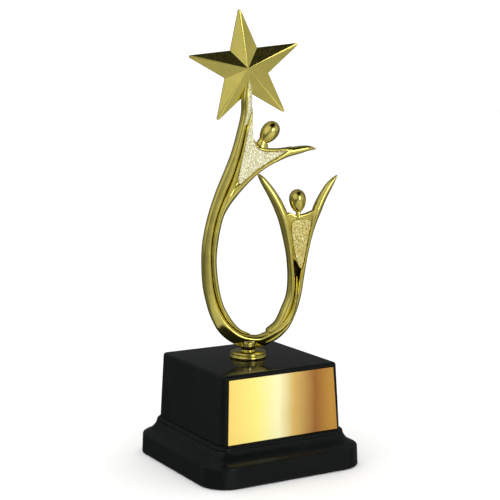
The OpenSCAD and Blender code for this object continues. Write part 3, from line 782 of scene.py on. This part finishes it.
def inlays():
    """Frosted panels: slightly crowned slabs with a raised grain cast into the face."""
    edge_w, edge_drop, under = 1.6, 0.42, 0.02
    for name, outline, mat, slot, seed in (
            ("tall_figure_inlay", TALL_PANEL, "frosted_pale", "frosted_gold", 3),
            ("small_figure_inlay", SMALL_PANEL, "frosted_gold", "frosted_gold", 5)):
        curve = spline(outline, 8, closed=True)

        def field(uv, w, curve=curve, seed=seed):
            flat = outline_field(curve, uv)
            inward = np.clip(-flat / edge_w, 0, 1)
            height = 0.26 * grain(uv, 0.62, seed) + 0.14 * grain(uv + 40, 0.36, seed + 1)
            top = PANEL_SEAT + PANEL_T - edge_drop + 0.30 * np.sqrt(inward) + height * inward - 0.28 * inward
            body = np.maximum((PANEL_SEAT + under) - w[None, :], w[None, :] - top[:, None])
            return np.maximum(flat[:, None], body)

        low, high = curve.min(0) - 1, curve.max(0) + 1
        obj = field_mesh(name + "_grain", field, (low[0], high[0], low[1], high[1], 0.5, 4.2), 0.2)
        finish_piece(obj, MATERIALS[mat], slot, name)


# ---------------------------------------------------------------- star
def star_outline(r):
    """A five-pointed outline with small round tips, first point up."""
    centre = r - STAR_TIP_R / math.sin(math.radians(18))
    notch = r * math.sin(math.radians(18)) / math.sin(math.radians(54))
    out = []
    for i in range(5):
        a = 90 + 72 * i
        cx, cy = centre * math.cos(math.radians(a)), centre * math.sin(math.radians(a))
        out += arc(cx, cy, STAR_TIP_R, a - 72, a + 72, 6)
        out.append((notch * math.cos(math.radians(a + 36)), notch * math.sin(math.radians(a + 36))))
    return out


def star_shell(name, rise, side):
    """One pressed half of the star: a rounded rim, and flat facets with soft ridges up to the middle."""
    flat = star_outline(STAR_R)
    n = len(flat)
    verts = [(x, y, STAR_SPLIT * side) for x, y in flat] + [(x, y, STAR_RIM * side) for x, y in flat]
    verts.append((0.0, 0.0, (STAR_RIM + rise) * side))
    faces = [tuple(range(n))[::-side]]
    faces += [(k, (k + 1) % n, n + (k + 1) % n, n + k)[::side] for k in range(n)]
    faces += [(n + k, n + (k + 1) % n, 2 * n)[::side] for k in range(n)]
    lean = math.radians(STAR_LEAN)
    placed = [(STAR_U + x * math.cos(lean) - y * math.sin(lean),
               STAR_V + x * math.sin(lean) + y * math.cos(lean), z) for x, y, z in verts]
    obj = mesh_object(name + "_facets", to_frame(placed), faces, smooth=False)
    bevel(obj, width=0.26, segments=2, angle=14)
    finish_piece(obj, MATERIALS["gold_star"], "gold_star", name)
    # Painted shade: the rim and its bevels, which turn away from the front, get a darker gold
    normal = np.empty(len(obj.data.polygons) * 3)
    obj.data.polygons.foreach_get("normal", normal)
    paint(obj, MATERIALS["gold_painted_shade"], normal.reshape(-1, 3) @ W_AXIS * side < STAR_SHADE)


# ---------------------------------------------------------------- plinth
def plinth():
    """The hollow tapered block, and under it the skirt with its bead, cove, upright side and rim."""
    wall, top_t = 2.4, 2.8
    corner_r = 6.0
    gap = 0.02
    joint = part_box("plinth_block")[0].z / MM
    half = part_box("plinth_block")[1].x / MM
    core = half - corner_r
    draft = math.tan(math.radians(3.15))
    skirt_low, skirt_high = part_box("plinth_skirt")
    rim_z = skirt_low.z / MM
    skirt_d = skirt_high.x / MM - core

    def block_loops(c, top, edge_r, flip):
        d = corner_r - (top - joint) * draft
        section = [(corner_r, joint + gap)]
        section += [(corner_r - (z - joint) * draft, z) for z in (joint + 0.4, joint + 22)]
        section += arc(d - edge_r, top - edge_r, edge_r, 0, 90, 10)
        loops = [square_loop(c, max(r, 0.05), z) for r, z in section]
        return loops[::-1] if flip else loops
    loops = block_loops(core - wall, PLINTH_TOP - top_t, 1.0, True)
    loops += block_loops(core, PLINTH_TOP, 2.0, False)
    block = loft("plinth_block_shell", loops)
    finish_piece(block, MATERIALS["gloss_black"], "gloss_black", "plinth_block")

    bead_z, cove_z, edge_z, edge_r = 23.0, 15.0, 13.0, 1.7
    bead_r = joint - bead_z
    edge_d = skirt_d - 0.5
    opening_half = 33.0
    flange_z = 22.8

    def cove(a, b):
        """A hollow curve that sweeps inwards from the low point a, then up to b."""
        t0, t1 = math.radians(17), math.radians(71)
        steps = 18
        out = []
        for i in range(steps + 1):
            t = t0 + (t1 - t0) * i / steps
            across = (math.sin(t) - math.sin(t0)) / (math.sin(t1) - math.sin(t0))
            up = (math.cos(t0) - math.cos(t)) / (math.cos(t0) - math.cos(t1))
            out.append((a[0] + (b[0] - a[0]) * across, a[1] + (b[1] - a[1]) * up))
        return out

    side = arc(edge_d - edge_r, edge_z, edge_r, 0, 80, 10)
    hollow = cove((edge_d - edge_r - 0.1, cove_z), (corner_r + bead_r, bead_z))
    outer = [(skirt_d - 0.35, rim_z), (skirt_d, rim_z + 0.35), (skirt_d - 0.03, rim_z + 1.2)]
    outer += side + hollow
    outer += arc(corner_r + 0.1, bead_z, bead_r, 0, 90, 12)
    inner = [(r, z) for r, z in reversed(side + hollow) if z < flange_z - 0.3]
    loops = [square_loop(opening_half - 1, 1.0, flange_z)]
    loops += [square_loop(core - wall, corner_r + bead_r + 0.2, flange_z)]
    loops += [square_loop(core - wall, r, z) for r, z in inner]
    loops += [square_loop(core - wall, skirt_d, rim_z)]
    loops += [square_loop(core, r, z) for r, z in outer]
    loops += [square_loop(opening_half - 1, 1.0, joint)]
    skirt = loft("plinth_skirt_shell", loops, closed=True)
    finish_piece(skirt, MATERIALS["gloss_black"], "gloss_black", "plinth_skirt")


def plate():
    """The thin engraving plate: the CAD sheet's own form, with its sheared edges rounded over."""
    source = frame["nodes"]["engraving_plate"]
    obj = bpy.data.objects.new("engraving_plate_sheet", source.data.copy())
    bpy.context.scene.collection.objects.link(obj)
    weld = obj.modifiers.new("weld", "WELD")
    weld.merge_threshold = 0.01 * MM
    settle(obj)
    bevel(obj, width=0.18, segments=3, angle=30)
    finish_piece(obj, MATERIALS["plate_gold"], "plate_gold", "engraving_plate")


def collar():
    """A turned collar: two rounded bands, then a hollow up to the neck under the ring."""
    disc_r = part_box("collar")[1].x / MM
    height = COLLAR_TOP - PLINTH_TOP
    neck_r = 5.2
    bore_r = 3.25
    profile = [(bore_r, 0.0), (disc_r - 0.5, 0.0)]
    profile += arc(disc_r - 1.3, 1.3, 1.3, -60, 60, 14)
    profile += [(disc_r - 1.1, 2.7)]
    profile += arc(disc_r - 1.5, 3.7, 0.95, -50, 80, 14)
    profile += [(neck_r + 1.0, 4.8)] + arc(neck_r - 0.5, 5.35, 0.6, -50, 60, 12)
    profile += [(neck_r - 0.3, height), (bore_r, height)]
    obj = lathe("collar_turned", [(r, z + PLINTH_TOP) for r, z in profile], 128, closed=True)
    finish_piece(obj, MATERIALS["gold_collar"], "gold_collar", "collar")


def felt():
    """The pad under the board, with its lower edge worn round."""
    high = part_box("felt_pad")[1]
    top, half = high.z / MM, high.x / MM
    corner = 17.0
    edge = [(corner - 0.5, 0.0), (corner - 0.1, 0.3), (corner, 0.8)]
    edge += [(corner - 0.1, top - 0.2), (corner - 0.4, top)]
    obj = loft("felt_pad_sheet", [square_loop(half - corner, r, z) for r, z in edge])
    finish_piece(obj, MATERIALS["felt"], "felt", "felt_pad")


# The CAD nodes that keep their own mesh, and what each is made of
CAD_LOOKS = {
    "ballast_plate": "cast_iron", "base_cover": "hardboard", "cover_screws": "zinc_steel",
    "plate_tape": "foam_tape", "centre_rod": "zinc_steel", "flat_washer": "zinc_steel",
    "lock_washer": "zinc_steel", "hex_nut": "zinc_steel", "head_pins": "zinc_steel",
    "star_rivet": "zinc_steel"}

castings = cast_pieces()
paint_seam_shade(castings)
paint_hollow_shade(castings)
frosted_stem(castings)
heads()
inlays()
star_shell("star_front", STAR_RISE, 1)
star_shell("star_back", STAR_BACK_RISE, -1)
collar()
plinth()
plate()
felt()
for node_name, look in CAD_LOOKS.items():
    for material_slot in frame["nodes"][node_name].material_slots:
        material_slot.material = MATERIALS[look]


# ---------------------------------------------------------------- studio
def direction(azimuth, elevation):
    """The direction a lobe of light comes from; azimuth 0 is in front of the plate, 90 at its right."""
    a, e = math.radians(azimuth), math.radians(elevation)
    return (math.sin(a) * math.cos(e), -math.cos(a) * math.cos(e), math.sin(e))


# [azimuth, elevation, half size inside, half size with the soft edge, brightness, added or multiplied]
BASE_LEVEL = 0.18
SOFT_BOXES = [
    (-64, 26, 22, 35, 0.60, "add"),
    (54, 20, 18, 36, 0.24, "add"),
    (-6, -52, 38, 48, 0.38, "add"),
    (12, -4, 8, 58, 0.38, "add"),
    (3, 11, 9, 15, 4.5, "add"),
    (150, 18, 30, 60, 0.30, "add"),
    (-140, 40, 30, 60, 0.30, "add"),
    (7, 64, 22, 31, 0.03, "times"),
    (160, 2, 36, 70, 0.22, "times"),
]
WHITE = 1.16


def world():
    """White surroundings, while polished parts mirror a dim room with soft boxes in it."""
    made = bpy.data.worlds.new("studio")
    bpy.context.scene.world = made
    made.use_nodes = True
    tree = made.node_tree
    tree.nodes.clear()
    coords = tree.nodes.new("ShaderNodeTexCoord").outputs["Generated"]

    def math_node(operation, a, b):
        node = tree.nodes.new("ShaderNodeMath")
        node.operation = operation
        for socket, value in ((node.inputs[0], a), (node.inputs[1], b)):
            if isinstance(value, (int, float)):
                socket.default_value = value
            else:
                tree.links.new(value, socket)
        return node.outputs["Value"]

    level = BASE_LEVEL
    for azimuth, elevation, core, edge, brightness, kind in SOFT_BOXES:
        dot = tree.nodes.new("ShaderNodeVectorMath")
        dot.operation = "DOT_PRODUCT"
        tree.links.new(coords, dot.inputs[0])
        dot.inputs[1].default_value = direction(azimuth, elevation)
        lobe = tree.nodes.new("ShaderNodeMapRange")
        lobe.interpolation_type = "SMOOTHSTEP"
        lobe.inputs["From Min"].default_value = math.cos(math.radians(edge))
        lobe.inputs["From Max"].default_value = math.cos(math.radians(core))
        lobe.inputs["To Min"].default_value = 0.0 if kind == "add" else 1.0
        lobe.inputs["To Max"].default_value = brightness
        tree.links.new(dot.outputs["Value"], lobe.inputs["Value"])
        level = math_node("ADD" if kind == "add" else "MULTIPLY", level, lobe.outputs["Result"])
    seen = tree.nodes.new("ShaderNodeLightPath").outputs["Is Glossy Ray"]
    backdrop = tree.nodes.new("ShaderNodeBackground")
    backdrop.inputs["Strength"].default_value = WHITE
    backdrop.inputs["Color"].default_value = (1, 1, 1, 1)
    lights = tree.nodes.new("ShaderNodeBackground")
    tree.links.new(level, lights.inputs["Strength"])
    mix = tree.nodes.new("ShaderNodeMixShader")
    tree.links.new(seen, mix.inputs[0])
    tree.links.new(backdrop.outputs[0], mix.inputs[1])
    tree.links.new(lights.outputs[0], mix.inputs[2])
    output = tree.nodes.new("ShaderNodeOutputWorld")
    tree.links.new(mix.outputs[0], output.inputs["Surface"])


def floor():
    """A plain pale floor that no polished part mirrors."""
    size = 6.0
    steps = 24
    line = np.linspace(-size, size, steps + 1)
    verts = [(x, y, 0.0) for x in line for y in line]
    row = steps + 1
    faces = [(i * row + j, (i + 1) * row + j, (i + 1) * row + j + 1, i * row + j + 1)
             for i in range(steps) for j in range(steps)]
    obj = mesh_object("floor", verts, faces, smooth=False)
    s = Shader("floor", (0.93, 0.93, 0.92), 0.0, 0.9)
    s.vary(s.noise(0.002, 3), 0.99, 1.01)
    obj.data.materials.append(s.mat)
    obj.visible_glossy = False


def soft_top():
    """One large soft light above and in front, which no polished part mirrors."""
    azimuth, elevation = -20, 72
    distance = 1.6
    data = bpy.data.lights.new("soft_top", "AREA")
    data.shape = "DISK"
    data.size = 1.6
    data.energy = 3
    obj = bpy.data.objects.new("soft_top", data)
    bpy.context.scene.collection.objects.link(obj)
    middle = (cad_low + cad_high) / 2
    aim = Vector(direction(azimuth, elevation))
    obj.location = middle + aim * distance
    obj.rotation_mode = "QUATERNION"
    obj.rotation_quaternion = aim.to_track_quat("Z", "Y")
    obj.visible_glossy = False


CAMERA_AT = Vector((-446.86, -774.29, 269.46)) * MM
CAMERA_YAW = math.radians(29.99 + 0.08)
CAMERA_PITCH = math.radians(7.89)


def camera():
    """Looks from the front's left, a little downwards."""
    data = bpy.data.cameras.new("camera")
    data.lens = 95.25
    data.sensor_width = 36.0
    data.clip_start, data.clip_end = 0.05, 50.0
    data.dof.use_dof = False
    obj = bpy.data.objects.new("camera", data)
    bpy.context.scene.collection.objects.link(obj)
    level = math.cos(CAMERA_PITCH)
    look = Vector((math.sin(CAMERA_YAW) * level, math.cos(CAMERA_YAW) * level, -math.sin(CAMERA_PITCH)))
    obj.location = CAMERA_AT
    obj.rotation_mode = "QUATERNION"
    obj.rotation_quaternion = look.to_track_quat("-Z", "Y")
    bpy.context.scene.camera = obj


world()
floor()
soft_top()
camera()
bpy.context.scene.view_settings.view_transform = "Standard"
